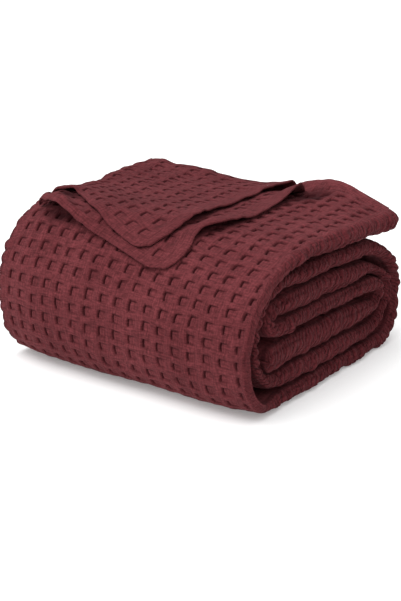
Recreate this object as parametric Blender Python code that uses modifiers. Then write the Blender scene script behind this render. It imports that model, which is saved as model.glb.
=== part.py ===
"""Waffle weave cotton blanket, folded lengthwise into a thick strip and loosely rolled up, with one corner
of the roll's outer end turned back over the top.

Metres, +Z up. The roll lies along X with its spiral end at +X and its closed long side facing -Y. The origin
is on the surface it lies on, under the middle of the roll.
"""

import math

import bpy
import numpy as np

# ---------------------------------------------------------------- driving sizes
FOLD_PUFF = 0.0120            # how far the puffed long edges reach past the flat of the strip
PUFF_ANGLES = (-64.0, -32.0, 0.0, 32.0, 64.0)     # stations round a puffed edge, in degrees
NOSE_LENGTH = 0.0120          # length over which each end of the strip rounds off
NOSE_LEAST = 0.16             # share of the thickness left where an end closes
NOSE_STATIONS = (0.0, 0.25, 0.6)      # stations in that length, as shares of it from the very end
SHEET_THICKNESS = 0.0024      # one layer of the waffle cloth in the turned corner
SHEET_GAP = 0.0012            # clear gap between the sheets, and between a sheet and the roll
FOOT_LIFT = SHEET_GAP + 0.5 * SHEET_THICKNESS     # middle of a sheet that rests on the roll, over its face

# The strip's runs across the roll, in winding order from the loose outer end to the core.
# height = middle of the run over the floor, back and front = y where its straight part ends,
# right and left = how far its long edges reach along x, thickness = of its folded layers together.
RUNS = (
    # height,  back,    front,   right,  left,   thickness
    (0.1660,  0.1870, -0.0300, 0.1890, -0.1900, 0.0236),
    (0.0094,  0.1350, -0.1250, 0.1890, -0.1880, 0.0184),
    (0.1412,  0.0850, -0.0700, 0.1850, -0.1900, 0.0214),
    (0.0312,  0.1040, -0.1000, 0.1870, -0.1870, 0.0230),
    (0.1150,  0.0900, -0.1085, 0.1840, -0.1890, 0.0268),
    (0.0905,  0.1200, -0.1085, 0.1870, -0.1870, 0.0200),
    (0.0612,  0.1180, -0.1290, 0.1850, -0.1880, 0.0322),
)

# The bends between one run and the next: the furthest y that the strip's middle reaches, the height where it
# does, how square its upper and lower halves are (2 is an ellipse), and the strip's thickness there.
BENDS = (
    # reach,   height, upper, lower, thickness
    (-0.1755, 0.0800, 2.30, 2.25, 0.0115),
    (0.1855, 0.0700, 2.15, 2.25, 0.0205),
    (-0.1555, 0.0850, 2.45, 2.20, 0.0165),
    (0.1605, 0.0760, 2.10, 2.10, 0.0130),
    (-0.1238, 0.1027, 2.00, 2.00, 0.0184),
    (0.1380, 0.0765, 2.00, 2.00, 0.0190),
)
RUN_HOLD = 0.30               # share of a run on each side of its middle that keeps the run's thickness
BEND_HOLD = 0.22              # the same for a bend, on each side of its tip
BEND_STEPS = 8                # stations in each half of a bend
RUN_STEP = 0.0260             # longest distance between stations on a straight run
OUTER_RUN_STEP = 0.0140       # the same on the outer run, under the turned corner
# Stations across the strip's outer and inner face, as shares of its reach, close where the loose end rises.
OUTER_COLUMNS = (0.90, 0.79, 0.68, 0.57, 0.515, 0.46, 0.405, 0.35, 0.295, 0.24, 0.185, 0.13, 0.07, 0.01,
                 -0.12, -0.30, -0.50, -0.70, -0.88)
INNER_COLUMNS = (-0.88, -0.50, -0.15, 0.20, 0.55, 0.86)

# The roll's slump: every point of the blanket moves with it, so the gaps between the turns stay.
DOME_RISE = 0.0060            # the top is higher in the middle than at front and back
FAR_RISE = 0.0100             # the looser upper turns stand this much higher at the far end
FAR_SHOULDER = 0.0210         # and their front shoulder there stands out by this much more
SHOULDER_Y = -0.1250          # y of that shoulder
SHOULDER_WIDTH = 0.0600       # distance over which it dies away to each side
FAR_RISE_FROM = 0.1700        # x where the rise starts
FAR_RISE_LENGTH = 0.3300      # length of roll over which it builds up
END_TAPER = 0.0300            # share by which the far end draws in towards the core
NEAR_TAPER = 0.0120           # the same at the spiral end
TAPER_LENGTH = 0.0800         # length of roll over which it draws in
CORE_HEIGHT = 0.0800          # height of the line towards which the ends draw in
FLOOR_TAPER_SHARE = 0.35      # below that line the floor lets them draw in by only this share
DOME_WIDTH = 0.1700           # y at which the dome has died away
HEM_RISE = 0.0192             # the loose end stands up by this much where the corner is turned back
HEM_RISE_X = 0.0920           # x where it stands highest
HEM_RISE_LEFT = 0.0340        # distance over which it dies away towards the far end
HEM_RISE_RIGHT = 0.0640       # and towards the spiral end
HEM_RISE_Y = 0.0400           # y where it starts, growing towards the loose end
HEM_RISE_POWER = 6            # how quickly it dies away below the top run
END_SKEW = 0.0350             # share by which the spiral end reaches further out at the back than midway
SWAY = 0.0020                 # slow unevenness of the turns along the roll
SWAY_RATE = 19.0              # its waves, in radians for each metre of roll
SWAY_PHASE = 0.7
FLOOR_PRESS = 0.0016          # the underside is pressed flat up to this height

# The turned corner is two sheets, in cloth distances on the roll's outer face: x along the roll, and s
# back from the loose end over the top towards the front. Each sheet is folded along its fold and lies
# forward over the top, out to its free edge. Both are listed from the far end: along the side, round the
# corner, and back along the hem.
CREASE_LEFT = (-0.178, 0.268)         # a soft crease crosses the turned corner from here
CREASE_RIGHT = (0.050, 0.006)         # to here
UPPER_SHEET = {
    "fold": ((-0.150, 0.262), (-0.156, 0.235), (-0.158, 0.197), (-0.160, 0.164), (-0.162, 0.123),
             (-0.166, 0.098), (-0.158, 0.068), (-0.112, 0.050), (-0.060, 0.040), (-0.010, 0.030),
             (0.020, 0.022), (0.040, 0.018)),
    "free_edge": ((-0.148, 0.268), (-0.130, 0.276), (-0.105, 0.288), (-0.082, 0.297), (-0.068, 0.302),
                  (-0.037, 0.315), (-0.008, 0.324), (0.014, 0.326), (0.034, 0.321), (0.043, 0.308),
                  (0.046, 0.285), (0.044, 0.250), (0.042, 0.225), (0.041, 0.181), (0.035, 0.130),
                  (0.033, 0.090), (0.038, 0.050), (0.044, 0.022)),
    # Height over the roll at the crease: far end, middle, near end.
    "crease_lift": (0.0098, 0.0098, 0.0112),
    "corner_lift": 0.0165,                       # more than that at the peeled corner behind the crease
    "settle": 0.0850,                            # distance from the crease over which the height dies away
    "sheets_below": 1,
}
LOWER_SHEET = {
    "fold": ((-0.164, 0.301), (-0.142, 0.272), (-0.126, 0.235), (-0.090, 0.165), (-0.036, 0.100),
             (0.024, 0.050), (0.072, 0.012)),
    "free_edge": ((-0.158, 0.305), (-0.144, 0.310), (-0.124, 0.314), (-0.104, 0.318), (-0.086, 0.321),
                  (-0.068, 0.323), (-0.043, 0.326), (-0.017, 0.331), (0.008, 0.336), (0.033, 0.340),
                  (0.052, 0.339), (0.063, 0.334), (0.070, 0.315), (0.071, 0.295), (0.075, 0.267),
                  (0.081, 0.249), (0.082, 0.199), (0.082, 0.167), (0.076, 0.136), (0.076, 0.100),
                  (0.079, 0.060), (0.082, 0.016)),
    "crease_lift": (0.0066, 0.0062, 0.0064),
    "corner_lift": 0.0,
    "settle": 0.0420,
    "sheets_below": 0,
}
CORNER_FROM = 0.0150          # distance behind the crease where the rise towards the peeled corner starts
CORNER_DISTANCE = 0.1000      # and over which it builds up
CORNER_POWER = 0.7            # below 1, it builds up early
CORNER_SIDE_FROM = -0.0200    # x where the corner's rise starts, growing towards the far end
CORNER_SIDE_LENGTH = 0.1470   # and over which it builds up
CORNER_SIDE_POWER = 1.3       # above 1, it builds up late
SHEET_ALONG = 36              # faces along a sheet's fold
SHEET_ACROSS = 11             # faces from the fold to the free edge
SHEET_BEND = 5                # faces round the fold
FINE_STEPS = 12               # points in each of a sheet's faces while its outline is smoothed

CLOTH_COLOUR = (0.125, 0.024, 0.030, 1.0)
CLOTH_ROUGHNESS = 0.92


# ---------------------------------------------------------------- the scene
def clear_scene():
    """Remove what a new file holds."""
    for item in list(bpy.data.objects):
        bpy.data.objects.remove(item, do_unlink=True)


def make_material(name, colour, roughness):
    """A plain dyed cotton material."""
    material = bpy.data.materials.new(name)
    material.use_nodes = True
    shader = material.node_tree.nodes["Principled BSDF"]
    shader.inputs["Base Color"].default_value = colour
    shader.inputs["Roughness"].default_value = roughness
    shader.inputs["Metallic"].default_value = 0.0
    material.diffuse_color = colour
    return material


def smooth_step(value):
    """0 below 0, 1 above 1, with a soft ramp between."""
    t = np.clip(value, 0.0, 1.0)
    return t * t * (3.0 - 2.0 * t)


# ---------------------------------------------------------------- the wound path
def quarter(start, end, power, leaves_flat):
    """Points of a quarter superellipse from start to end, both (y, z), without its first point.

    leaves_flat says that it leaves its start along y, as off a run, and otherwise along z, as off a tip.
    """
    points = []
    for step in range(1, BEND_STEPS + 1):
        angle = 0.5 * math.pi * step / BEND_STEPS
        slow = 1.0 - math.cos(angle) ** (2.0 / power) if step < BEND_STEPS else 1.0
        fast = math.sin(angle) ** (2.0 / power)
        along_y, along_z = (fast, slow) if leaves_flat else (slow, fast)
        points.append((start[0] + (end[0] - start[0]) * along_y, start[1] + (end[1] - start[1]) * along_z))
    return points


def straight(start, end, step):
    """Points of a straight run from start to end, without its first point, no further apart than step."""
    count = max(1, math.ceil(abs(end[0] - start[0]) / step))
    return [(start[0] + (end[0] - start[0]) * k / count, start[1] + (end[1] - start[1]) * k / count)
            for k in range(1, count + 1)]


def wound_path():
    """The strip's middle line from the loose end to the core, with its edges and thickness at each point.

    Returns an array with a row (y, z, right, left, thickness) for each station. The thickness is held round
    the middle of each run and the tip of each bend, and changes evenly from one to the next.
    """
    points = []
    reach = []
    held = []

    def add(new_points, edges_from, edges_to, hold, thickness):
        for k, point in enumerate(new_points, 1):
            share = k / len(new_points)
            points.append(point)
            reach.append([a + (b - a) * share for a, b in zip(edges_from, edges_to)])
            if hold[0] <= share <= hold[1]:
                held.append((len(points) - 1, thickness))

    for index, (height, back, front, right, left, thickness) in enumerate(RUNS):
        towards_front = index % 2 == 0
        start, end = ((back, height), (front, height))
        if not towards_front:
            start, end = end, start
        edges = (right, left)
        if index == 0:
            for share in NOSE_STATIONS:
                points.append((start[0] - NOSE_LENGTH * share, height))
                reach.append(list(edges))
        steps = straight(points[-1], end, RUN_STEP if index else OUTER_RUN_STEP)
        add(steps, edges, edges, (0.5 - RUN_HOLD, 0.5 + RUN_HOLD), thickness)
        if index < len(BENDS):
            tip_y, tip_z, upper, lower, bend_thickness = BENDS[index]
            next_run = RUNS[index + 1]
            next_start = (next_run[2] if tip_y < 0.0 else next_run[1], next_run[0])
            middle = [(a + b) / 2.0 for a, b in zip(edges, next_run[3:5])]
            first, second = (upper, lower) if end[1] > next_start[1] else (lower, upper)
            tip = (tip_y, tip_z)
            before, after = (1.0 - 2.0 * BEND_HOLD, 1.0), (0.0, 2.0 * BEND_HOLD)
            add(quarter(end, tip, first, True), edges, middle, before, bend_thickness)
            add(quarter(tip, next_start, second, False), middle, next_run[3:5], after, bend_thickness)
        else:
            last_y = points[-1][0]
            for share in NOSE_STATIONS[::-1]:
                points.append((last_y - NOSE_LENGTH * (1.0 - share), height))
                reach.append(list(edges))
    path = np.hstack([np.array(points), np.array(reach)])
    s = distances(path)
    places, values = np.array(held).T
    return np.hstack([path, np.interp(s, s[places.astype(int)], values)[:, None]])


def outward_normals(path):
    """Unit normals of the (y, z) path that point out of the roll."""
    tangent = np.gradient(path[:, :2], axis=0)
    tangent /= np.linalg.norm(tangent, axis=1)[:, None]
    return np.stack([tangent[:, 1], -tangent[:, 0]], axis=1)


def distances(path):
    """Distance of each station from the loose end along the path."""
    steps = np.linalg.norm(np.diff(path[:, :2], axis=0), axis=1)
    return np.concatenate([[0.0], np.cumsum(steps)])


def settle(points):
    """Slump of the rolled blanket: a low dome on top, ends that draw in, and a slow sway of the turns."""
    x, y, z = points.T
    reach = RUNS[0][3]
    far = smooth_step((TAPER_LENGTH - reach - x) / TAPER_LENGTH)
    near = smooth_step((TAPER_LENGTH - reach + x) / TAPER_LENGTH)
    shrink = 1.0 - END_TAPER * far - NEAR_TAPER * near
    floor_shrink = 1.0 - FLOOR_TAPER_SHARE * (1.0 - shrink)
    high = np.clip(z / RUNS[0][0], 0.0, 1.2)
    dome = DOME_RISE * high * np.clip(1.0 - (y / DOME_WIDTH) ** 2, -0.3, 1.0)
    shoulder = FAR_SHOULDER * np.exp(-((y - SHOULDER_Y) / SHOULDER_WIDTH) ** 2)
    rise = (FAR_RISE + shoulder) * high ** 2 * smooth_step((FAR_RISE_FROM - x) / FAR_RISE_LENGTH)
    hem = HEM_RISE * high ** HEM_RISE_POWER * smooth_step((y - HEM_RISE_Y) / (RUNS[0][1] - HEM_RISE_Y))
    from_peak = x - HEM_RISE_X
    rise += hem * np.exp(-(from_peak / np.where(from_peak < 0.0, HEM_RISE_LEFT, HEM_RISE_RIGHT)) ** 2)
    new_x = x * (1.0 + END_SKEW * smooth_step(x / reach) * y / RUNS[0][1])
    sway = SWAY * high * np.sin(SWAY_RATE * x + SWAY_PHASE)
    new_z = CORE_HEIGHT + (z - CORE_HEIGHT) * np.where(z < CORE_HEIGHT, floor_shrink, shrink)
    new_z = np.maximum(new_z + dome + rise, FLOOR_PRESS) - FLOOR_PRESS
    return np.stack([new_x, y * shrink + sway, new_z], axis=1)


# ---------------------------------------------------------------- the roll
def across(shares, right, left, out):
    """(x, outward) pairs on a flat face of the strip, out from its middle."""
    return [(share * (right if share > 0.0 else -left), out) for share in shares]


def section(half_thickness, right, left):
    """The folded strip's cross section, as (x, outward) pairs: flat faces and puffed, rounded long edges."""
    puff = [(FOLD_PUFF * (1.0 - math.cos(math.radians(a))), half_thickness * math.sin(math.radians(a)))
            for a in PUFF_ANGLES]
    puffed_right = [(right - inset, out) for inset, out in puff]
    puffed_left = [(left + inset, out) for inset, out in puff[::-1]]
    top = across(OUTER_COLUMNS, right, left, half_thickness)
    bottom = across(INNER_COLUMNS, right, left, -half_thickness)
    return puffed_right + top + puffed_left + bottom


def make_roll(path, cloth):
    """The wound strip as one closed solid."""
    normals = outward_normals(path)
    s = distances(path)
    rings = []
    for (y, z, right, left, thickness), (out_y, out_z), at in zip(path, normals, s):
        half = 0.5 * thickness
        inset = min(at, s[-1] - at)
        if inset < NOSE_LENGTH:
            half *= max(NOSE_LEAST, math.sqrt(1.0 - (1.0 - inset / NOSE_LENGTH) ** 2))
        ring = [(x, y + out_y * out, z + out_z * out) for x, out in section(half, right, left)]
        rings.append(settle(np.array(ring)))
    count = len(rings[0])
    vertices = np.vstack(rings)
    faces = []
    for i in range(len(rings) - 1):
        for j in range(count):
            a = i * count + j
            b = i * count + (j + 1) % count
            faces.append((a, b, b + count, a + count))
    last = (len(rings) - 1) * count
    faces.append(tuple(range(count))[::-1])
    faces.append(tuple(range(last, last + count)))
    mesh = bpy.data.meshes.new("blanket_roll")
    mesh.from_pydata(vertices.tolist(), [], faces)
    mesh.validate()
    mesh.shade_smooth()
    roll = bpy.data.objects.new("blanket_roll", mesh)
    mesh.materials.append(cloth)
    return roll


# ---------------------------------------------------------------- the turned corner
class OuterFace:
    """The roll's outer face near the loose end, addressed by x, s and a lift off the cloth."""

    def __init__(self, path):
        self.s = distances(path)
        self.middle = path[:, :2]
        self.normal = outward_normals(path)
        self.half = 0.5 * path[:, 4]

    def place(self, x, s, lift):
        """World points for arrays of x, cloth distance s and lift over the outer face."""
        y = np.interp(s, self.s, self.middle[:, 0])
        z = np.interp(s, self.s, self.middle[:, 1])
        out_y = np.interp(s, self.s, self.normal[:, 0])
        out_z = np.interp(s, self.s, self.normal[:, 1])
        out = np.interp(s, self.s, self.half) + lift
        return settle(np.stack([x, y + out_y * out, z + out_z * out], axis=1))


def resample(points, count):
    """count + 1 points evenly spaced on a smooth curve through the given ones."""
    points = np.array(points)
    t = np.concatenate([[0.0], np.cumsum(np.linalg.norm(np.diff(points, axis=0), axis=1))])
    fine = np.linspace(0.0, t[-1], FINE_STEPS * count + 1)
    curve = np.stack([np.interp(fine, t, points[:, k]) for k in range(2)], axis=1)
    for _ in range(2 * count):
        curve[1:-1] = 0.25 * curve[:-2] + 0.5 * curve[1:-1] + 0.25 * curve[2:]
    return curve[::FINE_STEPS]


def sheet_lift(x, s, shape):
    """Height of a turned sheet's middle over the roll's face: most at the crease and behind it."""
    left, right = np.array(CREASE_LEFT), np.array(CREASE_RIGHT)
    length = np.linalg.norm(right - left)
    along = ((x - left[0]) * (right[0] - left[0]) + (s - left[1]) * (right[1] - left[1])) / length ** 2
    before = ((s - left[1]) * (right[0] - left[0]) - (x - left[0]) * (right[1] - left[1])) / length
    rest = FOOT_LIFT + shape["sheets_below"] * (SHEET_THICKNESS + SHEET_GAP)
    crease = np.interp(along, (0.0, 0.5, 1.0), shape["crease_lift"])
    peeled = smooth_step(-(before + CORNER_FROM) / CORNER_DISTANCE) ** CORNER_POWER
    side = np.clip((CORNER_SIDE_FROM - x) / CORNER_SIDE_LENGTH, 0.0, 1.0) ** CORNER_SIDE_POWER
    corner = shape["corner_lift"] * peeled * side
    return rest + (crease - rest) * (1.0 - smooth_step(before / shape["settle"])) + corner


def make_sheet(name, shape, face, cloth):
    """One layer of the turned corner: round its fold, then over the top out to its free edge."""
    fold = resample(shape["fold"], SHEET_ALONG)
    free = resample(shape["free_edge"], SHEET_ALONG)
    along = np.gradient(fold, axis=0)
    along /= np.linalg.norm(along, axis=1)[:, None]
    behind = np.stack([along[:, 1], -along[:, 0]], axis=1)
    crest = sheet_lift(fold[:, 0], fold[:, 1], shape)
    radius = 0.5 * (crest - FOOT_LIFT)
    rows = []
    for step in range(SHEET_BEND):
        angle = math.pi * step / SHEET_BEND
        spot = fold + behind * (radius * math.sin(angle))[:, None]
        rows.append(face.place(spot[:, 0], spot[:, 1], FOOT_LIFT + radius * (1.0 - math.cos(angle))))
    for step in range(SHEET_ACROSS + 1):
        spot = fold + (free - fold) * step / SHEET_ACROSS
        rows.append(face.place(spot[:, 0], spot[:, 1], sheet_lift(spot[:, 0], spot[:, 1], shape)))
    columns = len(fold)
    faces = [(i * columns + j, i * columns + j + 1, (i + 1) * columns + j + 1, (i + 1) * columns + j)
             for i in range(len(rows) - 1) for j in range(columns - 1)]
    mesh = bpy.data.meshes.new(name)
    mesh.from_pydata(np.vstack(rows).tolist(), [], faces)
    mesh.shade_smooth()
    mesh.materials.append(cloth)
    sheet = bpy.data.objects.new(name, mesh)
    solidify = sheet.modifiers.new("cloth thickness", "SOLIDIFY")
    solidify.thickness = SHEET_THICKNESS
    solidify.offset = 0.0
    return sheet


def centre_over_origin(pieces):
    """Move the pieces' points so that the middle of what they cover on the floor is at the origin."""
    points = np.vstack([[vertex.co[:] for vertex in piece.data.vertices] for piece in pieces])
    middle = 0.5 * (points.min(axis=0) + points.max(axis=0))
    for piece in pieces:
        for vertex in piece.data.vertices:
            vertex.co.x -= middle[0]
            vertex.co.y -= middle[1]


def main():
    clear_scene()
    blanket = bpy.data.collections.new("waffle_weave_blanket")
    bpy.context.scene.collection.children.link(blanket)
    path = wound_path()
    face = OuterFace(path)
    pieces = [make_roll(path, make_material("rolled cotton", CLOTH_COLOUR, CLOTH_ROUGHNESS))]
    for name, shape in (("turned_corner_lower", LOWER_SHEET), ("turned_corner_upper", UPPER_SHEET)):
        cloth = make_material(name.replace("_", " ") + " cotton", CLOTH_COLOUR, CLOTH_ROUGHNESS)
        pieces.append(make_sheet(name, shape, face, cloth))
    centre_over_origin(pieces)
    for piece in pieces:
        blanket.objects.link(piece)


main()
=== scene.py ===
import functools
import math

import bpy
import numpy as np
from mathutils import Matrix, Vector


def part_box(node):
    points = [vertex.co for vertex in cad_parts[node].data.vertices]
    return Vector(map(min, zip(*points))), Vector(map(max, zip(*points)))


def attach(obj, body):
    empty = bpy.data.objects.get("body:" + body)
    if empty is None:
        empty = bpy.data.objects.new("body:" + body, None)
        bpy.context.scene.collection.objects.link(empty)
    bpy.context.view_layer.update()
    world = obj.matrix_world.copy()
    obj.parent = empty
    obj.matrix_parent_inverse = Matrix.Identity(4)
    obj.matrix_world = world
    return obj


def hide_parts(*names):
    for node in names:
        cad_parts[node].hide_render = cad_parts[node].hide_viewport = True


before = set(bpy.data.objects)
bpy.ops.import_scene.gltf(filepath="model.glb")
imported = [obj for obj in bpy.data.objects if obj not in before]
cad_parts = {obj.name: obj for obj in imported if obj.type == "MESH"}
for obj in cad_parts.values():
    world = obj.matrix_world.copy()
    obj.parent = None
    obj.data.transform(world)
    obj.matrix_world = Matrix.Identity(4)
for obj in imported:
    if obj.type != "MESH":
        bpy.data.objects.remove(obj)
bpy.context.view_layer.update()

# A waffle weave cotton blanket, folded lengthwise into a strip of six layers and rolled up loosely, with the
# corner of its two outermost layers turned back over the top. Metres, +Z up, the spiral end at +X. Everywhere
# below, x runs along the roll, and s is the distance from the loose end along the wound cloth.

# ==== sizes of the rolled strip
EDGE_PUFF = 0.0145  # how far a folded long edge bulges past the flat of the strip
SHOULDER_DROP = 0.0022  # how far the strip's face bends down beside that edge,
SHOULDER_X = (0.142, 0.036)  # from this x on either side of the middle
NOSE_LENGTH = 0.012  # length over which the strip's ends round off
NOSE_LEAST = 0.03  # square of the share of the thickness left where they close
# The strip's runs across the roll, from the loose end to the core: height of the middle, y of the back and
# front ends, the reach of the long edges to the right and left, and the strip's thickness there.
RUNS = (
    (0.166, 0.187, -0.03, 0.189, -0.19, 0.0236),
    (0.0094, 0.135, -0.125, 0.189, -0.188, 0.0184),
    (0.1412, 0.085, -0.07, 0.185, -0.19, 0.0214),
    (0.0312, 0.104, -0.1, 0.187, -0.187, 0.023),
    (0.115, 0.09, -0.1085, 0.184, -0.189, 0.0268),
    (0.0905, 0.12, -0.1085, 0.187, -0.187, 0.02),
    (0.0612, 0.118, -0.129, 0.185, -0.188, 0.0322),
)
# The bends between them: y and height of the tip, how square the upper and lower halves are, and thickness.
BENDS = (
    (-0.1755, 0.08, 2.3, 2.25, 0.0115),
    (0.1855, 0.07, 2.15, 2.25, 0.0205),
    (-0.153, 0.085, 2.45, 2.2, 0.017),
    (0.1605, 0.076, 2.1, 2.1, 0.013),
    (-0.1238, 0.1027, 2, 2, 0.0184),
    (0.138, 0.0765, 2, 2, 0.019),
)
RUN_HOLD = 0.3  # share of a run, each side of its middle, with the run's thickness
BEND_HOLD = 0.45  # the same for a bend, on each side of its tip
BEND_STEPS, RUN_STEPS, PATH_STEPS = 40, 30, 1500  # points on half a bend, a run, and the finished path

# The slump of the whole roll, the same as in the solids.
DOME_RISE, DOME_WIDTH, DOME_LEAST = 0.006, 0.17, -0.3  # the top is higher in its middle
HIGHEST_SHARE = 1.2  # of the top run's height, up to which the slump grows
FAR_RISE, FAR_RISE_X = 0.01, (0.17, 0.33)  # the far end stands higher,
FAR_SHOULDER, FAR_SHOULDER_Y = 0.021, (-0.125, 0.06)  # most of all at its front shoulder
END_TAPER, NEAR_TAPER, TAPER_LENGTH = 0.03, 0.012, 0.08  # both ends draw in towards the core,
CORE_HEIGHT, FLOOR_TAPER_SHARE = 0.08, 0.35  # and less where they lie on the floor
HEM_RISE, HEM_RISE_X, HEM_RISE_Y, HEM_RISE_POWER = 0.0192, 0.092, 0.04, 6  # the loose end stands up
HEM_RISE_LEFT, HEM_RISE_RIGHT = 0.034, 0.064  # widths of that rise on either side of its middle
END_SKEW = 0.035  # share by which the spiral end reaches further out at the back
SWAY, SWAY_RATE, SWAY_PHASE = 0.002, 19, 0.7
FLOOR_PRESS = 0.0016  # the underside is pressed flat up to this height

# ==== sizes of the waffle weave
CELL_WIDTH = 0.0214  # from one pit to the next along the roll
CELL_LENGTH = 0.0178  # and round it, where the cloth isn't stretched
FIRST_COLUMN_X = -0.193  # x where the first column of cells starts
# s of the middle of each row of pits: stretched over the top, then even.
ROW_PLACES = (0.05, 0.071, 0.092, 0.1125, 0.133, 0.157, 0.183, 0.207, 0.231, 0.2525, 0.2725, 0.292,
              0.311, 0.328, 0.346, 0.362, 0.3795, 0.396, 0.414, 0.4315, 0.4495, 0.467, 0.4825, 0.4975)
COLUMN_LEAN = 0.016  # how far the columns lean towards the far end over the top,
LEAN_S = (0.12, 0.19)  # until here, and the length over which that ends
LINE_GAP = 0.0004  # least gap between a grid line and the end of its stretch
PIT_DEPTH = 0.0046  # depth of the slit at a pit's left wall
# A cell's lines across it, as shares of its width, and how deep the cloth lies there in a pit's middle rows.
CELL_LINES = (0, 0.1, 0.185, 0.216, 0.236, 0.288, 0.314, 0.36, 0.5, 0.66, 0.765, 0.825, 0.92)
PIT_PROFILE = (0, 0, 0.02, 0.3, 1, 1, 0.4, 0.29, 0.27, 0.25, 0.22, 0.02, 0)
# painted shade at each of those lines, darkest in the slit
SLIT_SHADE = (0, 0, 0, 0.4, 1, 1, 0.4, 0.03, 0, 0, 0, 0.1, 0)
ROW_LINES = (0, 0.12, 0.215, 0.255, 0.305, 0.42, 0.58, 0.705, 0.745, 0.785, 0.88)
ROW_PROFILE = (0, 0, 0, 1, 1, 1, 1, 1, 1, 0, 0)
CELL_STRETCH, PIT_SPREAD, SHADE_SPREAD = 0.12, 0.25, 0.25  # how far cells differ in length, depth and shade
# a slit's usual painted shade
SLIT_SHADE_MEAN = 0.9
CROWN_HEIGHT, CROWN_SHIFT = 0.0005, 0.02  # the ridges between the pits are rounded
# The walls at a pit's two ends: place along the cell and painted shade, their width, and their span across
# it.
WALL_SHADES = ((0.255, 0.95), (0.755, 0.42))
WALL_WIDTH = 0.04
WALL_SPAN = (0.22, 0.04, 0.84, 0.3)
SLIT_PLACE = (0.26, 0.14)  # where a slit lies across its cell, and how wide it pulls
SLIT_BOW, SLIT_HALF_LENGTH = 0.001, 0.27  # how far it bows to the left in its middle
SLIT_DRIFT, SLIT_TILT = 0.0005, 0.0016  # how far it strays to either side, and how far it tilts
SLIT_END = 0.36  # share of a cell that has to fit on the face for its slit to show
HEM_WIDTH = 0.028  # plain woven hem, doubled over
HEM_STEP = 0.0006  # how far it stands over the cloth beside it
HEM_SEAM = 0.0245  # its row of stitches, from the edge
SEAM_SIZE = 0.0007  # their depth and half their width
HEM_STEP_RAMP, HEM_MARGIN, HEM_FADE = 0.0012, 0.003, 0.004
HEM_LINES = (0, 0.0014, 0.0045, 0.01, 0.0175, 0.0225, 0.0237, 0.0245, 0.0253, 0.0265, 0.028)
FACE_MARGINS = (0.0012, 0.0024)  # from the face's outermost grid lines to the right and left edges
EDGE_CROWDING = 0.0016  # width beside each margin in which the lines that don't fit are crowded
COLUMN_FADE, FACE_FADE = 0.001, 0.0015
# Soft round spots on the strip's outer face: x, width, s, length.
HEM_DIP, HEM_DIP_SPOT = 0.008, (0.083, 0.025, 0.054, 0.023)  # dip in the loose end beside the corner
MOUTH_SPOT = (-0.118, 0.034, 0.31, 0.011)  # painted shade in the hollow under the turned corner's left end
HOLLOW_X, HOLLOW_S, HOLLOW_LEAN = 0.09, 0.07, 1.107  # painted shade at the dip's foot, and its slant in radians
HOLLOW_LENGTH, HOLLOW_WIDTH = 0.033, 0.0135
# painted shade in those hollows: a gain at the dip and its foot, the share in the dip, the most, and under
# the corner
HOLLOW_SHADE, DIP_SHADE, DARKEST_SHADE, MOUTH_SHADE = 1.15, 0.8, 0.95, 0.85
HEM_RIM, HEM_RIM_X = 0.012, (0.042, 0.026)  # the loose end's rim stands up beside the dip,
HEM_RIM_S = (0.034, 0.026)  # up to this s
RIB_PITCH = 0.0138  # the ribs that run round a folded edge
RIB_HEIGHT, RIB_SPREAD, RIB_LEAN = 0.0013, 0.55, 0.22  # how high they are, how far they differ, and lean
FINE_RIB_PITCH = 0.0062  # finer slanting ribs between them

# Slow unevenness, as ripples that are added up: rows of size, rate in radians a metre, and seed.
EDGE_SWAY = ((0.002, 60, 2), (0.001, 170, 5))  # of how far a long edge reaches
RIB_SWAY, RIB_WAVER = ((0.4, 75, 3),), ((0.1, 140, 9),)  # of the ribs' places, in ribs
RIB_LUMPS = ((0.001, 230, 7),)
FACE_SHIFT_X = ((0.0012, 95, 11), (0.0005, 260, 12))  # of the weave on the strip's outer face
FACE_SHIFT_S = ((0.0011, 105, 13),)
FACE_SWELL = ((0.0011, 42, 17), (0.0004, 190, 18))
SHEET_WAVES, SHEET_RIPPLES = ((0.0008, 70, 4),), ((0.0004, 210, 6),)


# ==== small helpers
def smooth_step(value):
    """0 below 0, 1 above 1, with a soft ramp between."""
    t = np.clip(value, 0, 1)
    return t * t * (3 - 2 * t)


def rise(value, start, ramp):
    """0 up to start, 1 from a ramp past it, softly between."""
    return smooth_step((value - start) / ramp)


def fall(value, end, ramp):
    """1 up to a ramp before end, 0 from end on, softly between."""
    return smooth_step((end - value) / ramp)


def between(value, start, start_ramp, end, end_ramp):
    """0 outside start and end, 1 between them, with a soft ramp inside each."""
    return rise(value, start, start_ramp) * fall(value, end, end_ramp)


def bell(value, middle, width):
    """1 in the middle and less to each side: e to the minus square of the distance in widths."""
    return np.exp(-((value - middle) / width) ** 2)


def spot(x, s, middle_x, width, middle_s, length):
    """1 at a spot's middle and less round it: a bell in x times one in s."""
    return bell(x, middle_x, width) * bell(s, middle_s, length)


def rounded(distance, reach, least=0):
    """Share of the full height at a distance inside an edge, rounded by a quarter circle over the reach."""
    return np.sqrt(np.clip(1 - np.clip(1 - distance / reach, 0, 1) ** 2, least, 1))


def darkest(*shades):
    """The largest of several arrays, place by place."""
    return functools.reduce(np.maximum, shades)


RIPPLE_WAVES = ((0.45, 0.3), (0.33, 1.4), (0.22, 2.5))  # share of each wave, and its direction in radians


def ripple(a, b, rate, seed):
    """Smooth unevenness from -1 to 1: the sum of three sine waves in unlike directions."""
    total = 0
    for k, (share, turn) in enumerate(RIPPLE_WAVES):
        angle = turn + 0.9 * seed
        wave = rate * (1 + 0.45 * k)
        place = a * math.cos(angle) + b * math.sin(angle)
        total = total + share * np.sin(wave * place + 1.7 * seed + 2.1 * k)
    return total


def uneven(a, b, rows, shift=0):
    """The sum of ripples, in rows of size, rate and seed, with shift added to the seeds."""
    return sum(size * ripple(a, b, rate, seed + shift) for size, rate, seed in rows)


def cell_noise(i, j, seed):
    """One even random number from -1 to 1 for each cell, from its row and column."""
    value = np.sin(i * 127.1 + j * 311.7 + seed * 74.7) * 43758.5453
    return 2 * (value - np.floor(value)) - 1


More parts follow.
